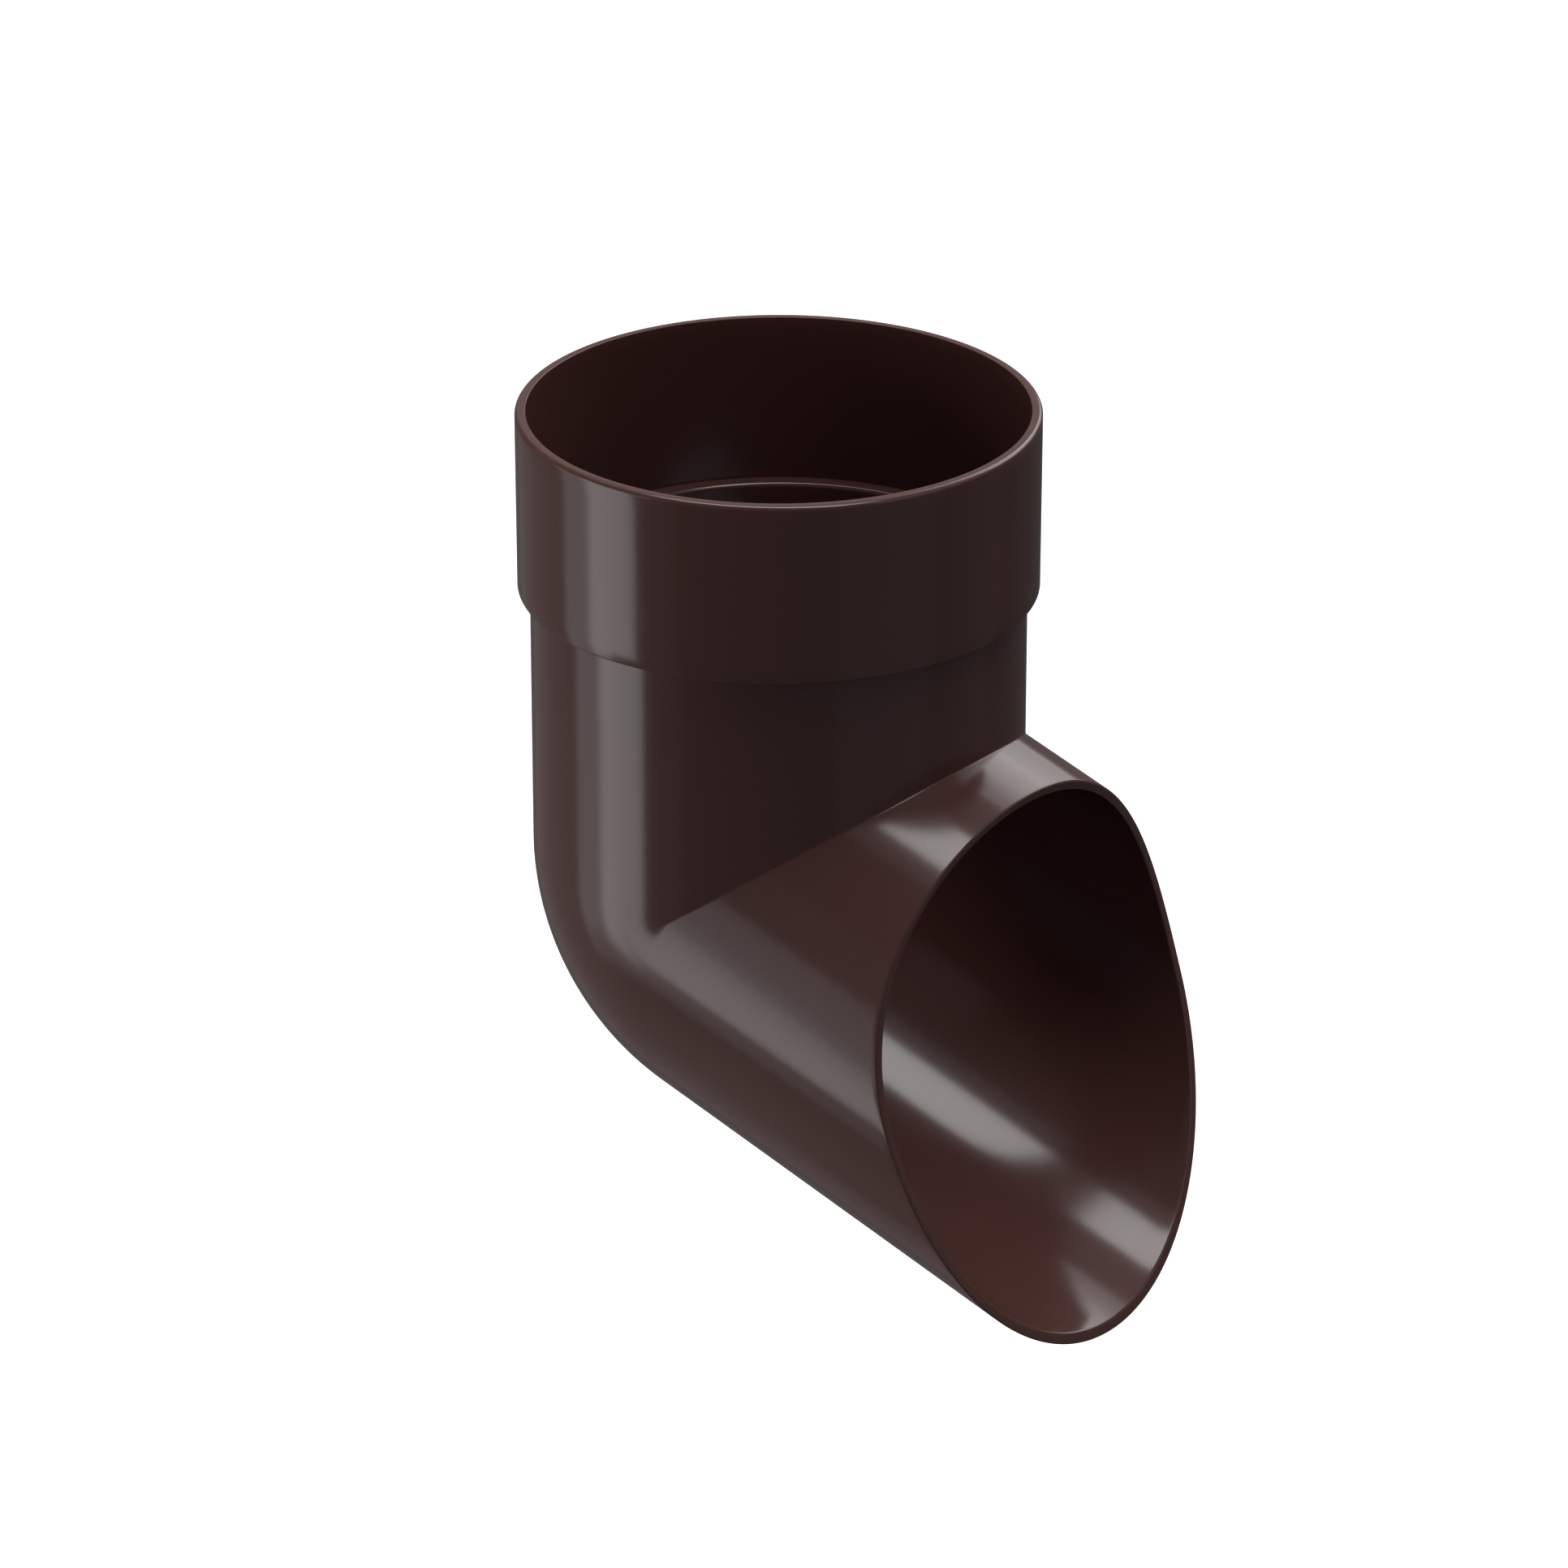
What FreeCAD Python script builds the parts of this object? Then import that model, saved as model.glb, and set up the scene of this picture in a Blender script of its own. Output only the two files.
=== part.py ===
import FreeCAD, Part
import math
import os
import Sketcher

# Downpipe shoe: a socket that slips over the foot of a rainwater downpipe, a round
# body, a close bend and an outlet that throws the water clear of the wall.
# It is one plastic moulding. Millimetres, +Z up the downpipe, +X where the water goes.
# The origin is on the downpipe's axis, level with the outer edge of the seat that the
# pipe's end rests on.

# Driving dimensions, in the order that a drawing would give them
SIZES = [
    ("pipe_diameter", 100.0, "outside diameter of the downpipe that the socket takes"),
    ("fit_clearance", 0.4, "gap all round between the pipe and the socket"),
    ("socket_depth", 35.3, "from the rim down to the seat"),
    ("socket_wall", 2.2, "wall of the socket at its rim"),
    ("socket_draw", 0.1, "how much the socket's outer radius shrinks from rim to foot"),
    ("seat_floor", 2.0, "thickness of the ring that steps in from socket to body"),
    ("seat_width", 2.4, "how far the seat steps in, from the socket's bore to the body's"),
    ("seat_fall", 0.5, "how far the seat falls on its way in, so that it drains"),
    ("body_wall", 2.0, "wall of the body and of the outlet"),
    ("drop", 64.3, "from the seat down to where the two centre lines cross"),
    ("outlet_fall", 18.0, "degrees that the outlet falls below level"),
    ("heel_bend", 9.7, "radius of the centre line's bend, which rounds the heel"),
    ("lip_top_reach", 49.6, "along the outlet, from the crossing to the lip's top"),
    ("lip_toe_reach", 106.0, "along the outlet, from the crossing to the lip's toe"),
    ("lip_top_lead", 19.2, "how far the top stands ahead of the straight lower part's line"),
    ("lip_sweep", 105.7, "radius of the lip's curved upper part, in the side view"),
    ("rim_round", 1.0, "rounding of the socket's outer rim"),
    ("seat_round", 1.0, "rounding where the seat turns down into the body"),
]
# How far each cutting outline runs past what it cuts, so that it cuts clean through
OVERRUN = 6.0
# How many equal arcs the heel's outline is drawn in, so that its wall meshes evenly
HEEL_ARCS = 6

doc = FreeCAD.newDocument("DownpipeShoe")
sheet = doc.addObject("Spreadsheet::Sheet", "Sizes")
for row, (alias, value, note) in enumerate(SIZES, start=1):
    sheet.set(f"A{row}", alias)
    sheet.set(f"B{row}", str(value))
    sheet.set(f"C{row}", note)
    sheet.setAlias(f"B{row}", alias)
doc.recompute()
size = {alias: value for alias, value, note in SIZES}

# The expressions that tie the sketches to the sheet
SOCKET_BORE = "(Sizes.pipe_diameter / 2 + Sizes.fit_clearance)"
RIM_RADIUS = f"({SOCKET_BORE} + Sizes.socket_wall)"
FOOT_RADIUS = f"({RIM_RADIUS} - Sizes.socket_draw)"
BODY_BORE = f"({SOCKET_BORE} - Sizes.seat_width)"
BODY_RADIUS = f"({BODY_BORE} + Sizes.body_wall)"
BEND_ANGLE = "(90 - Sizes.outlet_fall)"
# From the crossing of the centre lines to either end of the bend that joins them
TANGENT = f"(Sizes.heel_bend * tan({BEND_ANGLE} * 1 deg / 2))"
BEND_START = f"(Sizes.drop - {TANGENT})"

# The same sizes as numbers, where each sketch starts
socket_bore = size["pipe_diameter"] / 2 + size["fit_clearance"]
rim_radius = socket_bore + size["socket_wall"]
foot_radius = rim_radius - size["socket_draw"]
body_bore = socket_bore - size["seat_width"]
body_radius = body_bore + size["body_wall"]
bend_angle = 90 - size["outlet_fall"]
tangent = size["heel_bend"] * math.tan(math.radians(bend_angle / 2))
bend_start = size["drop"] - tangent

body = doc.addObject("PartDesign::Body", "Shoe")
body.Label = "shoe"
body.Placement = FreeCAD.Placement()


def new_sketch(name, role):
    """An empty sketch of the body, flat on one of its origin planes."""
    planes = body.Origin.OriginFeatures
    sketch = body.newObject("Sketcher::SketchObject", name)
    sketch.AttachmentSupport = [(next(p for p in planes if p.Role == role), "")]
    sketch.MapMode = "FlatFace"
    return sketch


def turn_to_outlet(sketch):
    """Moves a side-view sketch to the crossing, with its x along the falling outlet."""
    sketch.AttachmentOffset = FreeCAD.Placement(
        FreeCAD.Vector(0, -size["drop"], 0),
        FreeCAD.Rotation(FreeCAD.Vector(0, 0, -1), size["outlet_fall"]),
    )
    sketch.setExpression(".AttachmentOffset.Base.y", "-Sizes.drop")
    sketch.setExpression(".AttachmentOffset.Rotation.Angle", "Sizes.outlet_fall")


def dimension(sketch, kind, terms, value, expression):
    """Adds one dimension to a sketch and ties it to the sheet."""
    index = sketch.addConstraint(Sketcher.Constraint(kind, *terms, value))
    sketch.setExpression(f"Constraints[{index}]", expression)


def closed_outline(sketch, corners):
    """
    Straight sides through corners, each (x, its expression, y, its expression).
    A corner whose x or y has no expression is held on that axis of the sketch.
    """
    count = len(corners)
    points = [FreeCAD.Vector(x, y, 0) for x, x_rule, y, y_rule in corners]
    for number in range(count):
        side = Part.LineSegment(points[number], points[(number + 1) % count])
        sketch.addGeometry(side, False)
    for number in range(count):
        after = (number + 1) % count
        sketch.addConstraint(Sketcher.Constraint("Coincident", number, 2, after, 1))
    for number, (x, x_rule, y, y_rule) in enumerate(corners):
        if x_rule:
            dimension(sketch, "DistanceX", (-1, 1, number, 1), x, x_rule)
        else:
            sketch.addConstraint(Sketcher.Constraint("PointOnObject", number, 1, -2))
        if y_rule:
            dimension(sketch, "DistanceY", (-1, 1, number, 1), y, y_rule)
        else:
            sketch.addConstraint(Sketcher.Constraint("PointOnObject", number, 1, -1))


def upright_outline():
    """Half the section of the socket, its step and the body down to the bend, solid."""
    sketch = new_sketch("UprightOutline", "XZ_Plane")
    closed_outline(sketch, [
        (0, "", size["socket_depth"], "Sizes.socket_depth"),
        (0, "", -bend_start, f"-{BEND_START}"),
        (body_radius, BODY_RADIUS, -bend_start, f"-{BEND_START}"),
        (body_radius, BODY_RADIUS, -size["seat_floor"], "-Sizes.seat_floor"),
        (foot_radius, FOOT_RADIUS, -size["seat_floor"], "-Sizes.seat_floor"),
        (rim_radius, RIM_RADIUS, size["socket_depth"], "Sizes.socket_depth"),
    ])
    return sketch


def upright_bore_outline():
    """Half the section of the socket's bore, the seat and the body's narrower bore."""
    sketch = new_sketch("UprightBoreOutline", "XZ_Plane")
    above = size["socket_depth"] + OVERRUN
    above_rule = f"Sizes.socket_depth + {OVERRUN}"
    closed_outline(sketch, [
        (0, "", above, above_rule),
        (0, "", -bend_start, f"-{BEND_START}"),
        (body_bore, BODY_BORE, -bend_start, f"-{BEND_START}"),
        (body_bore, BODY_BORE, -size["seat_fall"], "-Sizes.seat_fall"),
        (socket_bore, SOCKET_BORE, 0, ""),
        (socket_bore, SOCKET_BORE, above, above_rule),
    ])
    return sketch


def outlet_outline(name, radius, rule):
    """Half the section of a rod along the outlet, from the bend to past the toe."""
    sketch = new_sketch(name, "XZ_Plane")
    turn_to_outlet(sketch)
    end = size["lip_toe_reach"] + OVERRUN
    end_rule = f"Sizes.lip_toe_reach + {OVERRUN}"
    closed_outline(sketch, [
        (tangent, TANGENT, 0, ""),
        (end, end_rule, 0, ""),
        (end, end_rule, radius, rule),
        (tangent, TANGENT, radius, rule),
    ])
    return sketch


def heel_outline(name, radius, rule):
    """The part of the level round section that lies behind the bend's own axis."""
    sketch = new_sketch(name, "XY_Plane")
    sketch.AttachmentOffset = FreeCAD.Placement(
        FreeCAD.Vector(0, 0, -bend_start), FreeCAD.Rotation()
    )
    sketch.setExpression(".AttachmentOffset.Base.z", f"-{BEND_START}")
    bend = size["heel_bend"]
    half = math.sqrt(radius ** 2 - bend ** 2)
    start = math.atan2(half, bend)
    span = (2 * math.pi - 2 * start) / HEEL_ARCS
    span_rule = f"(360 deg - 2 * acos(Sizes.heel_bend / ({rule}))) / {HEEL_ARCS}"
    circle = Part.Circle(FreeCAD.Vector(0, 0, 0), FreeCAD.Vector(0, 0, 1), radius)
    for number in range(HEEL_ARCS):
        first = start + number * span
        sketch.addGeometry(Part.ArcOfCircle(circle, first, first + span), False)
    foot, head = FreeCAD.Vector(bend, -half, 0), FreeCAD.Vector(bend, half, 0)
    chord = sketch.addGeometry(Part.LineSegment(foot, head), False)
    for number in range(HEEL_ARCS):
        sketch.addConstraint(Sketcher.Constraint("Coincident", number, 3, -1, 1))
        sketch.addConstraint(Sketcher.Constraint("Coincident", number, 2, number + 1, 1))
    sketch.addConstraint(Sketcher.Constraint("Coincident", 0, 1, chord, 2))
    sketch.addConstraint(Sketcher.Constraint("Vertical", chord))
    dimension(sketch, "Radius", (0,), radius, rule)
    dimension(sketch, "DistanceX", (-1, 1, chord, 1), bend, "Sizes.heel_bend")
    for number in range(1, HEEL_ARCS):
        dimension(sketch, "Angle", (number,), span, span_rule)
    return sketch


def lip_outline():
    """
    Side view of what is trimmed off the outlet's end: the lip starts close under the
    body, sweeps forward in an arc and runs on straight to the toe.
    """
    sketch = new_sketch("LipOutline", "XZ_Plane")
    turn_to_outlet(sketch)
    sweep = size["lip_sweep"]
    top = FreeCAD.Vector(size["lip_top_reach"], body_radius, 0)
    toe = FreeCAD.Vector(size["lip_toe_reach"], -body_radius, 0)
    # The straight part's line passes behind the top, and leans off square to the outlet
    aim = FreeCAD.Vector(top.x - size["lip_top_lead"], body_radius, 0)
    slant = math.atan2(toe.x - aim.x, aim.y - toe.y)
    # It runs back up from the toe to where an arc, tangent to it and of the right
    # radius, also passes through the top
    back = FreeCAD.Vector(-math.sin(slant), math.cos(slant), 0)
    ahead = FreeCAD.Vector(math.cos(slant), math.sin(slant), 0)
    to_top = top - toe - ahead * sweep
    along = to_top.dot(back)
    joint = toe + back * (along - math.sqrt(along ** 2 - to_top.dot(to_top) + sweep ** 2))
    centre = joint + ahead * sweep
    above = body_radius + OVERRUN
    beyond = toe.x + OVERRUN
    rise = math.asin((above - centre.y) / sweep)
    start = FreeCAD.Vector(centre.x - sweep * math.cos(rise), above, 0)
    end = toe - back * (OVERRUN / math.cos(slant))
    circle = Part.Circle(centre, FreeCAD.Vector(0, 0, 1), sweep)
    sketch.addGeometry([
        Part.ArcOfCircle(circle, math.pi - rise, math.pi + slant),
        Part.LineSegment(joint, end),
        Part.LineSegment(end, FreeCAD.Vector(beyond, end.y, 0)),
        Part.LineSegment(FreeCAD.Vector(beyond, end.y, 0), FreeCAD.Vector(beyond, above, 0)),
        Part.LineSegment(FreeCAD.Vector(beyond, above, 0), start),
    ], False)
    sketch.addGeometry([Part.Point(top), Part.Point(toe), Part.Point(aim)], True)
    arc, straight, under, front, over, top_mark, toe_mark, aim_mark = range(8)
    sketch.addConstraint([
        Sketcher.Constraint("Tangent", arc, 2, straight, 1),
        Sketcher.Constraint("Coincident", straight, 2, under, 1),
        Sketcher.Constraint("Coincident", under, 2, front, 1),
        Sketcher.Constraint("Coincident", front, 2, over, 1),
        Sketcher.Constraint("Coincident", over, 2, arc, 1),
        Sketcher.Constraint("Horizontal", under),
        Sketcher.Constraint("Vertical", front),
        Sketcher.Constraint("Horizontal", over),
        Sketcher.Constraint("PointOnObject", top_mark, 1, arc),
        Sketcher.Constraint("PointOnObject", toe_mark, 1, straight),
        Sketcher.Constraint("PointOnObject", aim_mark, 1, straight),
    ])
    for kind, terms, value, rule in [
        ("Radius", (arc,), sweep, "Sizes.lip_sweep"),
        ("DistanceX", (aim_mark, 1, top_mark, 1), top.x - aim.x, "Sizes.lip_top_lead"),
        ("DistanceY", (-1, 1, aim_mark, 1), aim.y, BODY_RADIUS),
        ("DistanceX", (-1, 1, top_mark, 1), top.x, "Sizes.lip_top_reach"),
        ("DistanceY", (-1, 1, top_mark, 1), top.y, BODY_RADIUS),
        ("DistanceX", (-1, 1, toe_mark, 1), toe.x, "Sizes.lip_toe_reach"),
        ("DistanceY", (-1, 1, toe_mark, 1), toe.y, f"-{BODY_RADIUS}"),
        ("DistanceY", (-1, 1, under, 1), end.y, f"-{BODY_RADIUS} - {OVERRUN}"),
        ("DistanceY", (-1, 1, over, 1), above, f"{BODY_RADIUS} + {OVERRUN}"),
        ("DistanceX", (-1, 1, front, 1), beyond, f"Sizes.lip_toe_reach + {OVERRUN}"),
    ]:
        dimension(sketch, kind, terms, value, rule)
    return sketch


def turned(kind, name, sketch, axis):
    """A full turn of a section about an axis of its sketch, as body or as bore."""
    feature = body.newObject(f"PartDesign::{kind}", name)
    feature.Profile = sketch
    feature.ReferenceAxis = (sketch, [axis])
    feature.Angle = 360
    doc.recompute()


def swung(kind, name, sketch):
    """The heel's quarter: a section swung down about its chord, to face the outlet."""
    feature = body.newObject(f"PartDesign::{kind}", name)
    feature.Profile = sketch
    feature.ReferenceAxis = (sketch, [f"Edge{HEEL_ARCS + 1}"])
    feature.Angle = bend_angle
    feature.setExpression("Angle", BEND_ANGLE)
    feature.Reversed = True
    doc.recompute()


def trimmed(name, sketch):
    """Cuts an outline right across the body, the same distance to either side."""
    feature = body.newObject("PartDesign::Pocket", name)
    feature.Profile = sketch
    feature.Type = "ThroughAll"
    feature.Midplane = True
    doc.recompute()


def rounded(name, edges, alias):
    """A fillet of the named edges, whose radius is one of the sheet's sizes."""
    if not edges:
        raise RuntimeError(f"{name} has no edge to round")
    base = body.Tip
    feature = body.newObject("PartDesign::Fillet", name)
    feature.Base = (base, edges)
    feature.Radius = size[alias]
    feature.setExpression("Radius", f"Sizes.{alias}")
    doc.recompute()


def level_circle(radius, height):
    """The level round edge of the given radius at the given height."""
    found = []
    for number, edge in enumerate(body.Tip.Shape.Edges, start=1):
        if edge.Degenerated or not isinstance(edge.Curve, Part.Circle):
            continue
        off_centre = (edge.Curve.Center - FreeCAD.Vector(0, 0, height)).Length
        if off_centre < 1e-4 and abs(edge.Curve.Radius - radius) < 1e-4:
            found.append(f"Edge{number}")
    return found


# The solid form first: upright, outlet and the round heel between them, then the trim
turned("Revolution", "Upright", upright_outline(), "V_Axis")
turned("Revolution", "Outlet", outlet_outline("OutletOutline", body_radius, BODY_RADIUS), "H_Axis")
swung("Revolution", "Heel", heel_outline("HeelOutline", body_radius, BODY_RADIUS))
trimmed("Lip", lip_outline())

# Then the waterway, which follows the outside one wall further in
turned("Groove", "UprightBore", upright_bore_outline(), "V_Axis")
turned("Groove", "OutletBore", outlet_outline("OutletBoreOutline", body_bore, BODY_BORE), "H_Axis")
swung("Groove", "HeelBore", heel_outline("HeelBoreOutline", body_bore, BODY_BORE))

# Then the edges that the mould leaves rounded
rounded("RimRound", level_circle(rim_radius, size["socket_depth"]), "rim_round")
rounded("SeatRound", level_circle(body_bore, -size["seat_fall"]), "seat_round")

failed = [item.Name for item in doc.Objects if {"Invalid", "Error"} & set(item.State)]
if failed:
    raise RuntimeError(f"failed to recompute: {failed}")
if body.Shape.isNull() or not body.Shape.isValid() or len(body.Shape.Solids) != 1:
    raise RuntimeError("the shoe is not one sound solid")

os.makedirs("parts", exist_ok=True)
body.Shape.exportStep(f"parts/{body.Label}.step")
print(f"{body.Label}: {body.Shape.Volume:.1f} mm3, {body.Shape.BoundBox}")
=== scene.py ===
"""
Downpipe shoe, the looks. One plastic moulding: a socket for the downpipe, a round body,
a close bend and a slanted outlet. Metres, +Z up the downpipe, +X where the water goes.
"""
import math

import bpy
from mathutils import Matrix, Vector


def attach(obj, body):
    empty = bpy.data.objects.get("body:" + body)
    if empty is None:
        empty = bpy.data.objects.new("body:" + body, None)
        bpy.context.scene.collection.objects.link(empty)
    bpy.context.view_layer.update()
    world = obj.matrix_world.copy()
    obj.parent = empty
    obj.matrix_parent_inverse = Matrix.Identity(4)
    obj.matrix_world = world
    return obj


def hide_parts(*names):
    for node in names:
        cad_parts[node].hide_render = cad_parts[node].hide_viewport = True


MM = 0.001

# The moulding's sizes in millimetres, as in the solid model
SOCKET_DEPTH = 35.3
SOCKET_BORE = 50.4
RIM_RADIUS = 52.6
FOOT_RADIUS = 52.5
SEAT_FLOOR = 2.0
SEAT_FALL = 0.5
BODY_RADIUS = 50.0
BODY_BORE = 48.0
DROP = 64.3
OUTLET_FALL = 18.0
HEEL_BEND = 9.7
LIP_TOP_REACH = 49.6
LIP_TOE_REACH = 106.0
LIP_TOP_LEAD = 19.2
LIP_SWEEP = 105.7

# Roundings of its edges, down to those too small for the solid model
RIM_ROUND = 1.0
RIM_INNER_ROUND = 0.15
FOOT_ROUND = 0.3
SEAT_ROUND = 1.0
LIP_OUTER_ROUND = 0.45
LIP_INNER_ROUND = 0.35
CREASE_ROUND = 0.4

# The seat's slope in degrees, and how far down its rounding meets the body's bore
SEAT_SLOPE = math.degrees(math.atan2(SEAT_FALL, SOCKET_BORE - BODY_BORE))
SEAT_END = SEAT_FALL + SEAT_ROUND * math.tan(math.radians(90 - SEAT_SLOPE) / 2)

# How finely the wall is drawn: its sides around, and the steps along each stretch of it
SIDES_AROUND = 300
RIM_STEPS = 10
INNER_RIM_STEPS = 4
SOCKET_STEPS = 12
FOOT_STEPS = 5
SEAT_STEPS = 10
BODY_STEPS = 14
BEND_STEPS = 36
OUTLET_STEPS = 24
OUTER_LIP_STEPS = 7
INNER_LIP_STEPS = 6
# The part of the outlet's run that is drawn evenly, before the lip's own roundings
EVEN_RUN = 0.97
# Points nearer than this in metres are one point
WELD_DISTANCE = 1e-6
# Walls that turn by more than this in degrees meet in a sharp corner
SHARP_CORNER = 40

# The plastic: its two shades, its gloss, and the sizes of its marks in millimetres
DARKER_CHOCOLATE = (0.074, 0.0312, 0.0266, 1)
LIGHTER_CHOCOLATE = (0.086, 0.0368, 0.0314, 1)
PLASTIC_IOR = 1.5
POLISHED_ROUGHNESS = 0.125
HAZE_ROUGHNESS = 0.05
LINE_ROUGHNESS = 0.04
CLOUD_SIZE = 30
FLECK_SIZE = 0.5
RIPPLE_SIZE = 3
GRAIN_SIZE = 0.4
LINE_SPACING = 0.8
# How many times longer than wide a line is, and its height against the waviness
LINE_STRETCH = 50
LINE_HEIGHT = 0.4
# The depth of the whole relief, and how near the bore a spot is on it, in millimetres
RELIEF_DEPTH = 0.004
BORE_SKIN = 0.1
# How much of each effect its larger marks make, and how many ripples wide the haze is
CLOUD_SHARE = 0.7
RIPPLE_SHARE = 0.9
HAZE_SHARE = 0.7
RIPPLES_IN_HAZE = 6

# The camera: degrees round from the side view and above level, its place in metres, and
# its lens, its sensor's width in millimetres and how far it sees in metres
CAMERA_AROUND = 37.7162
CAMERA_RAISED = 24.2927
CAMERA_PLACE = (0.876641, -1.131859, 0.599333)
CAMERA_LENS = 177.44
CAMERA_SENSOR = 36
CAMERA_RANGE = 20

# The floor's level and half its width in metres, and its grey. Its own glow is weakest
# under the shoe, and full from this many times the floor's depth away
FLOOR_LEVEL = -0.75
FLOOR_HALF_WIDTH = 6
FLOOR_GREY = 0.35
GLOW_UNDER_SHOE = 0.7
FULL_GLOW_FROM = 1.3

# The lamps that light the plastic's own colour and aren't mirrored in it: a name, degrees
# round from +X and above level, the side of a square in metres, and a brightness. All
# stand at one distance in metres
LAMP_DISTANCE = 1.0
LAMPS = [
    ("low_left_fill", -160, -40, 0.50, 5.0),
    ("top_fill", 90, 88, 0.60, 0.3),
    ("back_fill", 140, 42, 0.60, 3.5),
]

# The studio as the shoe sees it, where a brightness of 1 is white. Each panel runs from and
# to a bearing in degrees round from +X, and from and to a height in degrees, and adds its
# brightness to the room's. The last one is a darker side of the room
ROOM_LIGHT = 0.11
PANELS = [
    (-143.7, -133, -29.8, 12, 2.2),
    (-133, -118.2, -27.6, 12, 2.2),
    (-160, -143.7, -30, 10, 0.66),
    (-160, -130, -34, -29.8, 0.35),
    (-118.2, -109, -14, 14, 0.7),
    (-180, -98, -50, 35, 0.07),
    (-26, 20, -40, 0, 0.05),
    (150, 180, -60, -20, 0.07),
    (116, 150, 8, 50, 0.20),
    (-10, 50, 10, 50, 0.30),
    (96, 114, 3, 12, 1.1),
    (84, 114, 12, 18, 1.5),
    (66, 114, 18, 24, 2.0),
    (60, 114, 24, 44, 2.8),
    (60, 114, 44, 49, 2.1),
    (60, 114, 49, 57, 1.35),
    (60, 116, -40, -20, -0.05),
]
# The ceiling's panels run from and to an x and a y, for a ceiling at a height of 1, and end
# with a brightness. The least rise keeps the sums finite where a direction is near level
CEILING = (-0.50, 0.55, -0.178, 0.173, 5.4)
CEILING_GLOW = (-0.90, 0.30, -0.36, 0.90, 0.30)
LEAST_RISE = 0.05


class Number:
    """A number in a node tree. Plain arithmetic on it adds the Math nodes."""

    def __init__(self, tree, socket):
        self.tree = tree
        self.socket = socket

    def math(self, operation, *others):
        node = self.tree.nodes.new("ShaderNodeMath")
        node.operation = operation
        for place, value in enumerate((self,) + others):
            if isinstance(value, Number):
                self.tree.links.new(value.socket, node.inputs[place])
            else:
                node.inputs[place].default_value = value
        return Number(self.tree, node.outputs[0])

    def __add__(self, other):
        return self.math("ADD", other)

    def __sub__(self, other):
        return self.math("SUBTRACT", other)

    def __mul__(self, other):
        return self.math("MULTIPLY", other)

    def __truediv__(self, other):
        return self.math("DIVIDE", other)


def add_node(tree, kind, inputs=None, **settings):
    """A node with its settings, whose named inputs take a value or a socket."""
    node = tree.nodes.new(kind)
    for name, value in settings.items():
        setattr(node, name, value)
    for name, value in (inputs or {}).items():
        if isinstance(value, Number):
            value = value.socket
        if isinstance(value, bpy.types.NodeSocket):
            tree.links.new(value, node.inputs[name])
        else:
            node.inputs[name].default_value = value
    return node


def rounded_corner(centre, radius, start, end, steps):
    """Points round a small arc, from one angle in degrees to another."""
    points = []
    for step in range(steps + 1):
        angle = math.radians(start + (end - start) * step / steps)
        across = centre[0] + radius * math.cos(angle)
        along = centre[1] + radius * math.sin(angle)
        points.append((across, along))
    return points


def evenly(start, end, steps):
    """Steps from start to end, without the first."""
    return [start + (end - start) * step / steps for step in range(1, steps + 1)]


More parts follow.
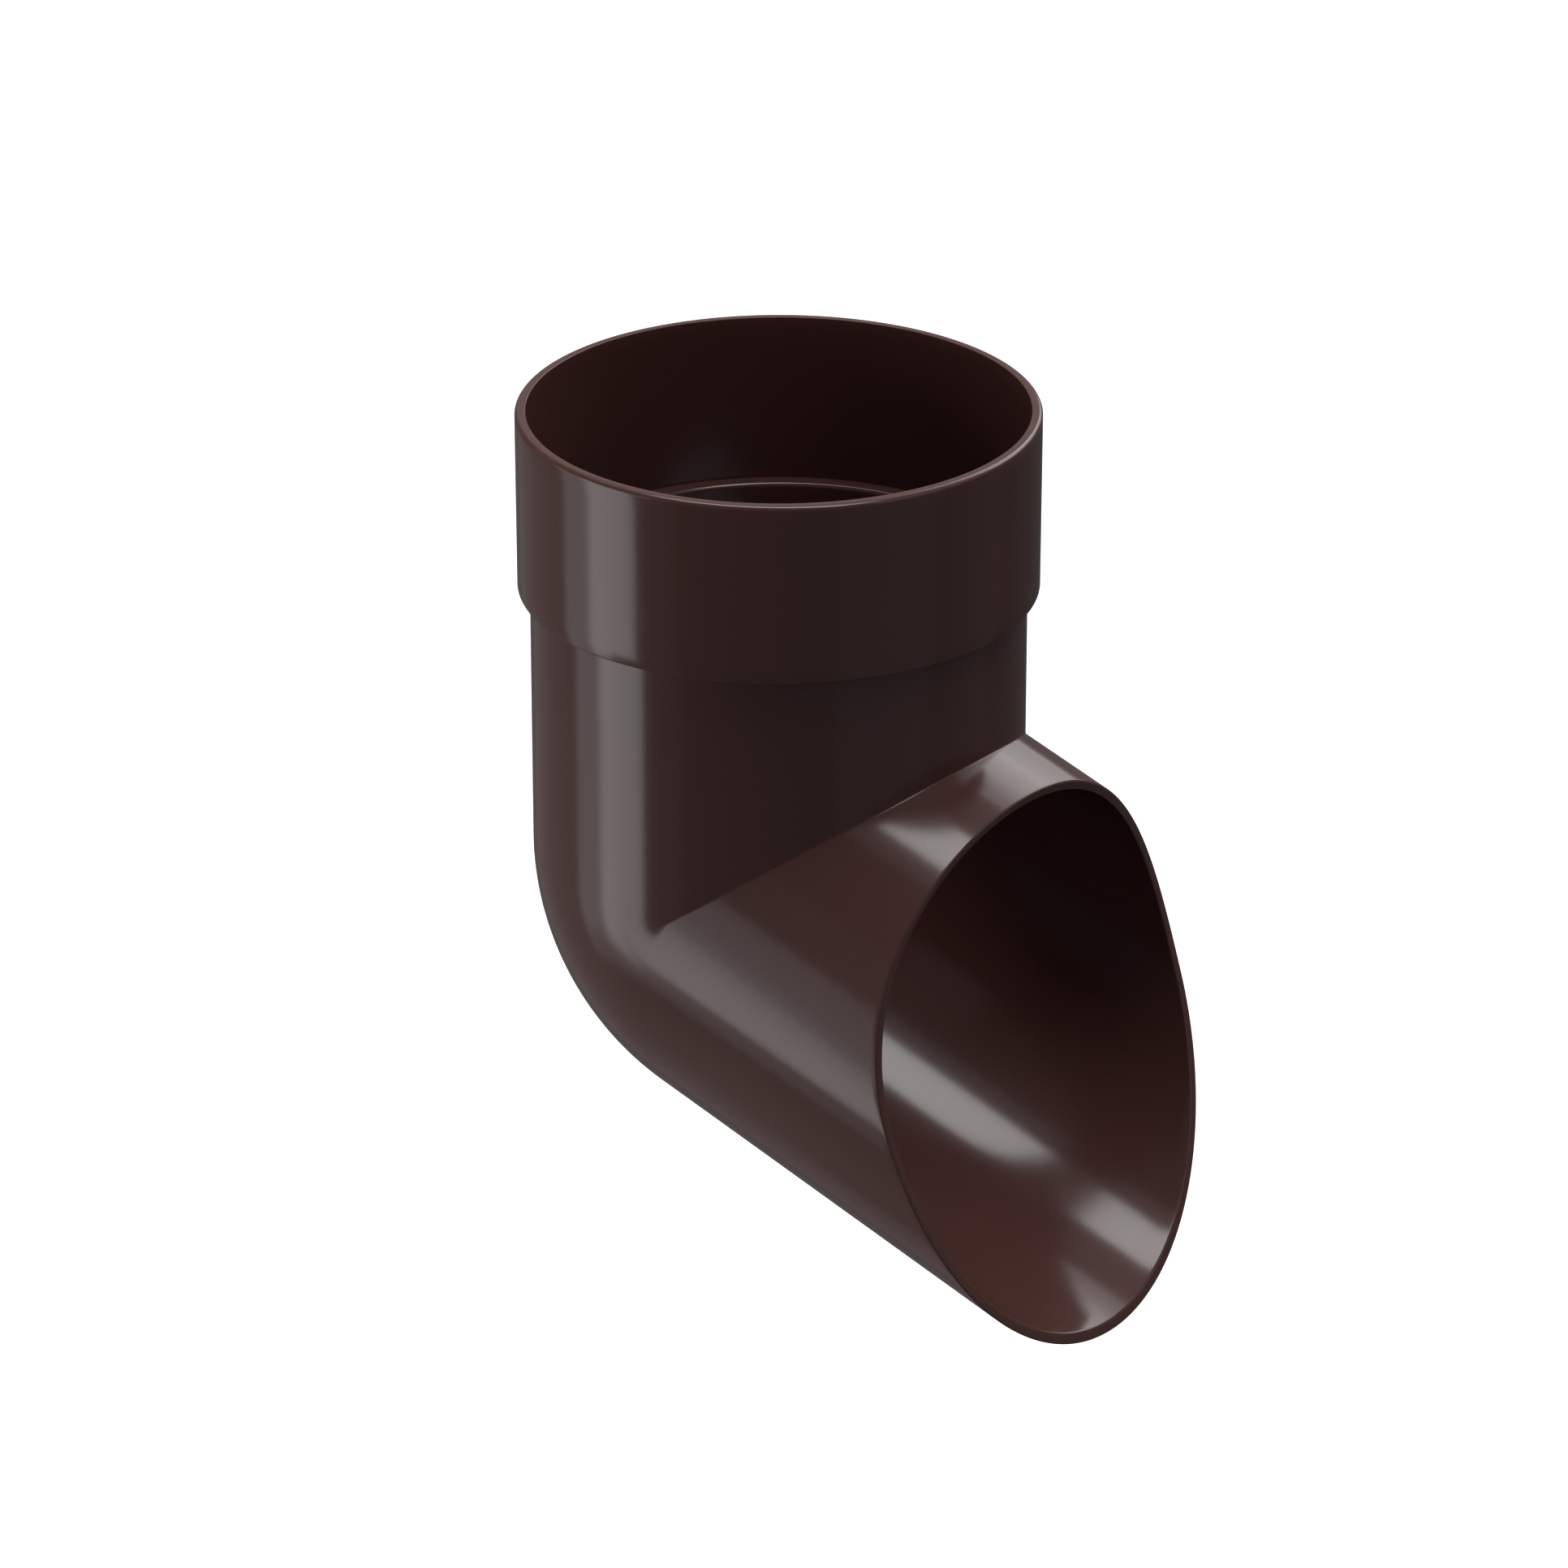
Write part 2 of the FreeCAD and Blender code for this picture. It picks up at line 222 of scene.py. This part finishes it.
def wall_stations():
    """
    The wall's section as a closed ring of stations, from the rim down the outside to the
    lip and back up the inside. Each is (radius, level, fall, turn, run, inset): its level
    on the upright in millimetres, how much of the way it has gone down the body, round
    the bend and along the outlet, each 0 to 1, and how far it stays back from the lip.
    """
    stations = []

    def upright(points):
        stations.extend((radius, level, 0, 0, 0, 0) for radius, level in points)

    rim_corner = (RIM_RADIUS - RIM_ROUND, SOCKET_DEPTH - RIM_ROUND)
    foot_corner = (FOOT_RADIUS - FOOT_ROUND, FOOT_ROUND - SEAT_FLOOR)
    upright(rounded_corner(rim_corner, RIM_ROUND, 90, 0, RIM_STEPS))
    parts = evenly(0, 1, SOCKET_STEPS)
    levels = evenly(rim_corner[1], foot_corner[1], SOCKET_STEPS)
    upright(
        (RIM_RADIUS + (FOOT_RADIUS - RIM_RADIUS) * part, level)
        for part, level in zip(parts, levels)
    )
    upright(rounded_corner(foot_corner, FOOT_ROUND, 0, -90, FOOT_STEPS)[1:])
    upright([(BODY_RADIUS, -SEAT_FLOOR)])

    top, outside = -SEAT_FLOOR, BODY_RADIUS
    stations += [(outside, top, part, 0, 0, 0) for part in evenly(0, 1, BODY_STEPS)]
    stations += [(outside, top, 1, part, 0, 0) for part in evenly(0, 1, BEND_STEPS)]
    stations += [(outside, top, 1, 1, part, 0) for part in evenly(0, EVEN_RUN, OUTLET_STEPS)]
    outer_centre = (outside - LIP_OUTER_ROUND, LIP_OUTER_ROUND)
    outer_lip = rounded_corner(outer_centre, LIP_OUTER_ROUND, 0, -90, OUTER_LIP_STEPS)
    inner_centre = (BODY_BORE + LIP_INNER_ROUND, LIP_INNER_ROUND)
    inner_lip = rounded_corner(inner_centre, LIP_INNER_ROUND, -90, -180, INNER_LIP_STEPS)
    stations += [(radius, top, 1, 1, 1, inset) for radius, inset in outer_lip + inner_lip]

    top, inside = -SEAT_END, BODY_BORE
    stations += [(inside, top, 1, 1, EVEN_RUN, 0)]
    stations += [(inside, top, 1, 1, part, 0) for part in evenly(EVEN_RUN, 0, OUTLET_STEPS)]
    stations += [(inside, top, 1, part, 0, 0) for part in evenly(1, 0, BEND_STEPS)]
    stations += [(inside, top, part, 0, 0, 0) for part in evenly(1, 0, BODY_STEPS)]

    seat_corner = (inside + SEAT_ROUND, -SEAT_END)
    upright(rounded_corner(seat_corner, SEAT_ROUND, 180, 90 + SEAT_SLOPE, SEAT_STEPS)[1:])
    upright([(SOCKET_BORE, 0)])
    inner_rim = (SOCKET_BORE + RIM_INNER_ROUND, SOCKET_DEPTH - RIM_INNER_ROUND)
    upright((SOCKET_BORE, level) for level in evenly(0, inner_rim[1], SOCKET_STEPS))
    upright(rounded_corner(inner_rim, RIM_INNER_ROUND, 180, 90, INNER_RIM_STEPS)[1:])
    return stations


def section_object():
    """The stations as a ring of points, with what each has gone kept as attributes."""
    stations = wall_stations()
    mesh = bpy.data.meshes.new("wall_section")
    points = [(radius * MM, 0, level * MM) for radius, level, *rest in stations]
    ring = [(number, (number + 1) % len(points)) for number in range(len(points))]
    mesh.from_pydata(points, ring, [])
    for column, name in ((2, "fall"), (3, "turn"), (4, "run"), (5, "inset")):
        unit = MM if name == "inset" else 1
        values = [station[column] * unit for station in stations]
        mesh.attributes.new(name, "FLOAT", "POINT").data.foreach_set("value", values)
    piece = bpy.data.objects.new("shoe_moulding", mesh)
    bpy.context.scene.collection.objects.link(piece)
    return piece


def lip_slant():
    """How far the lip's straight lower part leans off square to the outlet."""
    return math.atan2(LIP_TOE_REACH - LIP_TOP_REACH + LIP_TOP_LEAD, 2 * BODY_RADIUS)


def lip_centre():
    """Reach and height of the centre that the lip's curved upper part is drawn from."""
    slant = lip_slant()
    back = Vector((-math.sin(slant), math.cos(slant)))
    ahead = Vector((math.cos(slant), math.sin(slant)))
    toe = Vector((LIP_TOE_REACH, -BODY_RADIUS))
    to_top = Vector((LIP_TOP_REACH, BODY_RADIUS)) - toe - ahead * LIP_SWEEP
    along = to_top.dot(back)
    rest = along ** 2 - to_top.length_squared + LIP_SWEEP ** 2
    return toe + back * (along - math.sqrt(rest)) + ahead * LIP_SWEEP


def bent_tube_tree(material):
    """
    Turns a section of stations round the upright and leads each fibre of the wall down
    the body, round the bend and along the outlet, until it meets the slanted lip.
    """
    tree = bpy.data.node_groups.new("bent_tube", "GeometryNodeTree")
    face = tree.interface
    face.new_socket("Geometry", in_out="INPUT", socket_type="NodeSocketGeometry")
    for name, value in (
        ("Drop", DROP * MM),
        ("Outlet Fall", math.radians(OUTLET_FALL)),
        ("Heel Bend", HEEL_BEND * MM),
        ("Crease Round", CREASE_ROUND * MM),
        ("Lip Toe Reach", LIP_TOE_REACH * MM),
        ("Lip Toe Height", -BODY_RADIUS * MM),
        ("Lip Slant", lip_slant()),
        ("Lip Sweep", LIP_SWEEP * MM),
        ("Lip Centre Reach", lip_centre().x * MM),
        ("Lip Centre Height", lip_centre().y * MM),
    ):
        face.new_socket(name, in_out="INPUT", socket_type="NodeSocketFloat").default_value = value
    sides = face.new_socket("Sides Around", in_out="INPUT", socket_type="NodeSocketInt")
    sides.default_value = SIDES_AROUND
    face.new_socket("Geometry", in_out="OUTPUT", socket_type="NodeSocketGeometry")

    given = add_node(tree, "NodeGroupInput")
    section = given.outputs["Geometry"]

    def named(name):
        return Number(tree, given.outputs[name])

    # A flat sheet, one row for each station and one column for each step around
    ring = add_node(tree, "GeometryNodeAttributeDomainSize", {"Geometry": section})
    rows = Number(tree, ring.outputs["Point Count"])
    columns = named("Sides Around")
    sheet = add_node(tree, "GeometryNodeMeshGrid", {
        "Size X": rows, "Size Y": columns, "Vertices X": rows + 1, "Vertices Y": columns + 1,
    })
    place = add_node(tree, "GeometryNodeInputPosition")
    spot = add_node(tree, "ShaderNodeSeparateXYZ", {"Vector": place.outputs[0]})
    row = (Number(tree, spot.outputs["X"]) + rows * 0.5).math("ROUND").math("FLOORED_MODULO", rows)
    around = (Number(tree, spot.outputs["Y"]) / columns + 0.5) * math.tau

    def at_station(socket, kind="FLOAT"):
        return add_node(
            tree, "GeometryNodeSampleIndex",
            {"Geometry": section, "Value": socket, "Index": row}, data_type=kind,
        ).outputs["Value"]

    def gone(name):
        kept = add_node(tree, "GeometryNodeInputNamedAttribute", {"Name": name}, data_type="FLOAT")
        return Number(tree, at_station(kept.outputs["Attribute"]))

    station = add_node(
        tree, "ShaderNodeSeparateXYZ", {"Vector": at_station(place.outputs[0], "FLOAT_VECTOR")}
    )
    radius = Number(tree, station.outputs["X"])
    level = Number(tree, station.outputs["Z"])
    fall, turn, run, inset = gone("fall"), gone("turn"), gone("run"), gone("inset")

    # Each fibre bends about its own centre: wide behind the bend's axis, tight at the crease
    ahead = radius * around.math("COSINE")
    aside = radius * around.math("SINE")
    behind = named("Heel Bend") - ahead
    bend = behind.math("SMOOTH_MAX", named("Crease Round"), named("Crease Round") * 2)
    angle = (named("Outlet Fall") * -1 + math.pi / 2) * turn
    half = ((named("Outlet Fall") * -1 + math.pi / 2) * 0.5).math("TANGENT")
    tangent = (ahead + bend) * half
    bend_start = tangent - named("Drop")
    height = level + (bend_start - level) * fall - bend * angle.math("SINE")
    forward = ahead + bend * (angle.math("COSINE") * -1 + 1)

    # The lip's reach at this fibre: a sweep above, a straight slant down to the toe
    rise = ahead - named("Lip Centre Height")
    sweep = named("Lip Sweep")
    square = (sweep * sweep - rise * rise).math("MAXIMUM", 0)
    swept = named("Lip Centre Reach") - square.math("SQRT")
    over_toe = ahead - named("Lip Toe Height")
    slanted = named("Lip Toe Reach") - over_toe * named("Lip Slant").math("TANGENT")
    joint = named("Lip Slant").math("SINE") * sweep * -1
    above = rise.math("GREATER_THAN", joint)
    reach = slanted + (swept - slanted) * above
    travel = (reach - tangent) * run - inset
    cosine = named("Outlet Fall").math("COSINE")
    sine = named("Outlet Fall").math("SINE")
    moved = add_node(tree, "ShaderNodeCombineXYZ", {
        "X": forward + travel * cosine, "Y": aside, "Z": height - travel * sine,
    })
    wall = add_node(tree, "GeometryNodeSetPosition", {
        "Geometry": sheet.outputs["Mesh"], "Position": moved.outputs[0],
    })
    closed = add_node(tree, "GeometryNodeMergeByDistance", {
        "Geometry": wall.outputs[0], "Distance": WELD_DISTANCE,
    })

    # Smooth all over, apart from the corners at the socket's foot and at the seat
    smooth = add_node(tree, "GeometryNodeSetShadeSmooth", {"Geometry": closed.outputs[0]})
    edge = add_node(tree, "GeometryNodeInputMeshEdgeAngle")
    corner = Number(tree, edge.outputs["Unsigned Angle"])
    sharp = corner.math("GREATER_THAN", math.radians(SHARP_CORNER))
    creased = add_node(tree, "GeometryNodeSetShadeSmooth", {
        "Geometry": smooth.outputs[0], "Selection": sharp, "Shade Smooth": False,
    }, domain="EDGE")
    whole = add_node(tree, "GeometryNodeRealizeInstances", {"Geometry": creased.outputs[0]})
    finished = add_node(tree, "GeometryNodeSetMaterial", {
        "Geometry": whole.outputs[0], "Material": material,
    })
    result = add_node(tree, "NodeGroupOutput")
    tree.links.new(finished.outputs[0], result.inputs[0])
    return tree


def moulded_shoe(material):
    """The whole moulding as one closed wall."""
    piece = section_object()
    modifier = piece.modifiers.new("bent_tube", "NODES")
    modifier.node_group = bent_tube_tree(material)
    graph = bpy.context.evaluated_depsgraph_get()
    mesh = bpy.data.meshes.new_from_object(piece.evaluated_get(graph))
    piece.modifiers.clear()
    piece.data = mesh
    mesh.name = "shoe_moulding"
    # The tree's grid leaves an empty material slot ahead of the right one
    mesh.materials.clear()
    mesh.materials.append(material)
    mesh.polygons.foreach_set("material_index", [0] * len(mesh.polygons))
    return piece


def effect_group(name, inputs, outputs):
    """A shader node group with named inputs and their values, and named outputs."""
    tree = bpy.data.node_groups.new(name, "ShaderNodeTree")
    for label, value in inputs.items():
        socket = tree.interface.new_socket(label, in_out="INPUT", socket_type="NodeSocketFloat")
        socket.default_value = value
    for label in outputs:
        tree.interface.new_socket(label, in_out="OUTPUT", socket_type="NodeSocketFloat")
    given = add_node(tree, "NodeGroupInput")
    numbers = [Number(tree, given.outputs[label]) for label in inputs]
    place = add_node(tree, "ShaderNodeTexCoord").outputs["Object"]
    return tree, numbers, place


def close_group(tree, **results):
    """Ends a node group: each named output gets its number."""
    add_node(tree, "NodeGroupOutput", results)
    return tree


def noise(tree, place, size, detail=0.0):
    """Even 3-D noise about 0.5, whose blobs are about the given size across."""
    scale = size.math("POWER", -1)
    texture = add_node(tree, "ShaderNodeTexNoise", {
        "Vector": place, "Scale": scale, "Detail": detail,
    })
    return Number(tree, texture.outputs["Fac"])


def pigment_flow():
    """Faint clouds where the melt flowed in, and the finest flecks of the pigment."""
    tree, (cloud, fleck), place = effect_group(
        "pigment_flow", {"Cloud Size": CLOUD_SIZE * MM, "Fleck Size": FLECK_SIZE * MM}, ["Mask"],
    )
    clouds = noise(tree, place, cloud, detail=2.0)
    flecks = noise(tree, place, fleck)
    return close_group(tree, Mask=clouds * CLOUD_SHARE + flecks * (1 - CLOUD_SHARE))


def moulded_skin():
    """The slight waviness and fine grain of a polished mould, as height and as gloss."""
    tree, (ripple, grain), place = effect_group(
        "moulded_skin", {"Ripple Size": RIPPLE_SIZE * MM, "Grain Size": GRAIN_SIZE * MM},
        ["Height", "Gloss"],
    )
    ripples = noise(tree, place, ripple, detail=1.0)
    grains = noise(tree, place, grain)
    hazes = noise(tree, place, ripple * RIPPLES_IN_HAZE, detail=2.0)
    height = ripples * RIPPLE_SHARE + grains * (1 - RIPPLE_SHARE)
    gloss = hazes * HAZE_SHARE + grains * (1 - HAZE_SHARE)
    return close_group(tree, Height=height, Gloss=gloss)


def draw_marks():
    """Fine lines up the socket's bore, left by the mould's core as it is pulled."""
    tree, (spacing, radius), place = effect_group(
        "draw_marks", {"Line Spacing": LINE_SPACING * MM, "Bore Radius": SOCKET_BORE * MM},
        ["Mask"],
    )
    spot = add_node(tree, "ShaderNodeSeparateXYZ", {"Vector": place})
    x, y, z = (Number(tree, spot.outputs[axis]) for axis in "XYZ")
    from_axis = (x * x + y * y).math("SQRT")
    # The pattern is flattened along the draw, so that its blobs are long lines
    drawn = add_node(tree, "ShaderNodeCombineXYZ", {"X": x, "Y": y, "Z": z / LINE_STRETCH})
    lines = noise(tree, drawn.outputs[0], spacing, detail=2.0)
    in_bore = (from_axis - radius).math("ABSOLUTE").math("LESS_THAN", BORE_SKIN * MM)
    return close_group(tree, Mask=lines * in_bore * z.math("GREATER_THAN", 0))


def chocolate_pvc():
    """Semi-gloss chocolate brown PVC, fresh from a polished mould."""
    material = bpy.data.materials.new("chocolate_pvc")
    material.use_nodes = True
    tree = material.node_tree
    shader = tree.nodes["Principled BSDF"]
    shader.inputs["IOR"].default_value = PLASTIC_IOR

    flow = add_node(tree, "ShaderNodeGroup", node_tree=pigment_flow())
    flow.inputs["Cloud Size"].default_value = CLOUD_SIZE * MM
    flow.inputs["Fleck Size"].default_value = FLECK_SIZE * MM
    colour = add_node(tree, "ShaderNodeMix", data_type="RGBA")
    tree.links.new(flow.outputs["Mask"], colour.inputs["Factor"])
    # These two sockets of the mix take colours
    colour.inputs[6].default_value = DARKER_CHOCOLATE
    colour.inputs[7].default_value = LIGHTER_CHOCOLATE
    tree.links.new(colour.outputs[2], shader.inputs["Base Color"])

    skin = add_node(tree, "ShaderNodeGroup", node_tree=moulded_skin())
    skin.inputs["Ripple Size"].default_value = RIPPLE_SIZE * MM
    skin.inputs["Grain Size"].default_value = GRAIN_SIZE * MM
    marks = add_node(tree, "ShaderNodeGroup", node_tree=draw_marks())
    marks.inputs["Line Spacing"].default_value = LINE_SPACING * MM
    marks.inputs["Bore Radius"].default_value = SOCKET_BORE * MM
    lines = Number(tree, marks.outputs["Mask"])
    haze = Number(tree, skin.outputs["Gloss"])
    matt = haze * HAZE_ROUGHNESS + lines * LINE_ROUGHNESS + POLISHED_ROUGHNESS
    tree.links.new(matt.socket, shader.inputs["Roughness"])

    relief = add_node(tree, "ShaderNodeBump", {
        "Height": Number(tree, skin.outputs["Height"]) + lines * LINE_HEIGHT,
        "Strength": 1.0, "Distance": RELIEF_DEPTH * MM,
    })
    tree.links.new(relief.outputs["Normal"], shader.inputs["Normal"])
    return material


def photo_camera():
    """A long lens at the photograph's viewing angle, level across the picture."""
    around, raised = math.radians(CAMERA_AROUND), math.radians(CAMERA_RAISED)
    right = Vector((math.cos(around), math.sin(around), 0))
    back = Vector((
        math.sin(around) * math.cos(raised),
        -math.cos(around) * math.cos(raised),
        math.sin(raised),
    ))
    up = back.cross(right)
    lens = bpy.data.cameras.new("photo_camera")
    lens.sensor_width = CAMERA_SENSOR
    lens.lens = CAMERA_LENS
    lens.clip_end = CAMERA_RANGE
    camera = bpy.data.objects.new("photo_camera", lens)
    turned = Matrix((right, up, back)).transposed().to_4x4()
    camera.matrix_world = Matrix.Translation(CAMERA_PLACE) @ turned
    bpy.context.scene.collection.objects.link(camera)
    bpy.context.scene.camera = camera


def softbox(name, bearing, height, side, brightness):
    """A flat square lamp that faces the shoe from a bearing and a height in degrees."""
    around, raised = math.radians(bearing), math.radians(height)
    outwards = Vector((
        math.cos(around) * math.cos(raised),
        math.sin(around) * math.cos(raised),
        math.sin(raised),
    ))
    across = Vector((-math.sin(around), math.cos(around), 0))
    lamp = bpy.data.lights.new(name, "AREA")
    lamp.shape = "RECTANGLE"
    lamp.size = lamp.size_y = side
    lamp.energy = brightness * math.pi * side * side
    panel = bpy.data.objects.new(name, lamp)
    turned = Matrix((across, outwards.cross(across), outwards)).transposed().to_4x4()
    panel.matrix_world = Matrix.Translation(outwards * LAMP_DISTANCE) @ turned
    panel.visible_camera = False
    panel.visible_glossy = False
    bpy.context.scene.collection.objects.link(panel)


def lit_patch(direction, left, right, low, high):
    """1 where a direction lies between two bearings and two heights, in degrees, else 0."""
    x, y, z = direction
    middle = math.radians((left + right) / 2)
    ahead = x * math.cos(middle) + y * math.sin(middle)
    aside = y * math.cos(middle) - x * math.sin(middle)
    within = aside.math("ARCTAN2", ahead).math("ABSOLUTE")
    above = z.math("GREATER_THAN", math.sin(math.radians(low)))
    below = z.math("LESS_THAN", math.sin(math.radians(high)))
    return within.math("LESS_THAN", math.radians(right - left) / 2) * above * below


def overhead_patch(direction, left, right, near, far):
    """1 where a direction meets a rectangle of a ceiling at a height of 1, else 0."""
    x, y, z = direction
    rise = z.math("MAXIMUM", LEAST_RISE)
    across, along = x / rise, y / rise
    wide = across.math("GREATER_THAN", left) * across.math("LESS_THAN", right)
    deep = along.math("GREATER_THAN", near) * along.math("LESS_THAN", far)
    return wide * deep * z.math("GREATER_THAN", 0)


def studio_world():
    """White where the camera looks past the floor. For all else, a dim room with panels."""
    world = bpy.data.worlds.new("studio")
    world.use_nodes = True
    tree = world.node_tree
    tree.nodes.clear()
    place = add_node(tree, "ShaderNodeTexCoord").outputs["Generated"]
    spot = add_node(tree, "ShaderNodeSeparateXYZ", {"Vector": place})
    direction = [Number(tree, spot.outputs[axis]) for axis in "XYZ"]
    seen = add_node(tree, "ShaderNodeLightPath")
    # The ceiling's panel isn't seen again in the reflection of a reflection
    once = Number(tree, seen.outputs["Glossy Depth"]).math("LESS_THAN", 2)
    light = overhead_patch(direction, *CEILING[:4]) * CEILING[4] * once + ROOM_LIGHT
    light = light + overhead_patch(direction, *CEILING_GLOW[:4]) * CEILING_GLOW[4]
    for *edges, brightness in PANELS:
        light = light + lit_patch(direction, *edges) * brightness
    room = add_node(tree, "ShaderNodeBackground", {"Color": (1, 1, 1, 1), "Strength": light})
    white = add_node(tree, "ShaderNodeBackground", {"Color": (1, 1, 1, 1), "Strength": 1.0})
    mixed = add_node(tree, "ShaderNodeMixShader", {0: seen.outputs["Is Camera Ray"]})
    tree.links.new(room.outputs[0], mixed.inputs[1])
    tree.links.new(white.outputs[0], mixed.inputs[2])
    result = add_node(tree, "ShaderNodeOutputWorld")
    tree.links.new(mixed.outputs[0], result.inputs["Surface"])
    bpy.context.scene.world = world


def studio_floor():
    """A plain pale floor, well below the shoe. From below, the camera looks through it."""
    material = bpy.data.materials.new("studio_floor")
    material.use_nodes = True
    tree = material.node_tree
    tree.nodes.clear()
    # Lit from itself except close under the shoe, where its soft shadow may show
    place = add_node(tree, "ShaderNodeTexCoord")
    away = add_node(tree, "ShaderNodeVectorMath", {0: place.outputs["Object"]}, operation="LENGTH")
    clear = add_node(tree, "ShaderNodeMapRange", {
        "Value": away.outputs["Value"],
        "From Min": -FLOOR_LEVEL, "From Max": -FLOOR_LEVEL * FULL_GLOW_FROM,
        "To Min": GLOW_UNDER_SHOE, "To Max": 1.0,
    })
    grey = (FLOOR_GREY, FLOOR_GREY, FLOOR_GREY, 1)
    card = add_node(tree, "ShaderNodeBsdfDiffuse", {"Color": grey})
    glow = add_node(tree, "ShaderNodeEmission", {"Strength": clear.outputs["Result"]})
    pale = add_node(tree, "ShaderNodeAddShader")
    underside = add_node(tree, "ShaderNodeNewGeometry").outputs["Backfacing"]
    clear_card = add_node(tree, "ShaderNodeBsdfTransparent")
    mixed = add_node(tree, "ShaderNodeMixShader", {0: underside})
    tree.links.new(card.outputs[0], pale.inputs[0])
    tree.links.new(glow.outputs[0], pale.inputs[1])
    tree.links.new(pale.outputs[0], mixed.inputs[1])
    tree.links.new(clear_card.outputs[0], mixed.inputs[2])
    result = add_node(tree, "ShaderNodeOutputMaterial")
    tree.links.new(mixed.outputs[0], result.inputs["Surface"])
    mesh = bpy.data.meshes.new("studio_floor")
    side = FLOOR_HALF_WIDTH
    corners = [(-side, -side), (side, -side), (side, side), (-side, side)]
    mesh.from_pydata([(x, y, FLOOR_LEVEL) for x, y in corners], [], [(0, 1, 2, 3)])
    mesh.materials.append(material)
    floor = bpy.data.objects.new("studio_floor", mesh)
    # Neither light nor reflection meets it, so it hides nothing of the room from the shoe
    floor.visible_diffuse = False
    floor.visible_glossy = False
    floor.visible_shadow = False
    bpy.context.scene.collection.objects.link(floor)
    return floor


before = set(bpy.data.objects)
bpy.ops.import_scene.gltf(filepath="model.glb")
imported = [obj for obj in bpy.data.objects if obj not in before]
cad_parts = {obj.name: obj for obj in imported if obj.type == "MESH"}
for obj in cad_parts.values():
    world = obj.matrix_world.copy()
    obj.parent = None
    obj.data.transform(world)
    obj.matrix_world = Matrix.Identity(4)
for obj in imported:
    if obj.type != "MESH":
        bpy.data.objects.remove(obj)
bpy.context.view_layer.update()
bpy.context.scene.view_settings.view_transform = "Standard"

shoe = moulded_shoe(chocolate_pvc())
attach(shoe, "root")
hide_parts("shoe")
photo_camera()
studio_world()
studio_floor()
for lamp in LAMPS:
    softbox(*lamp)
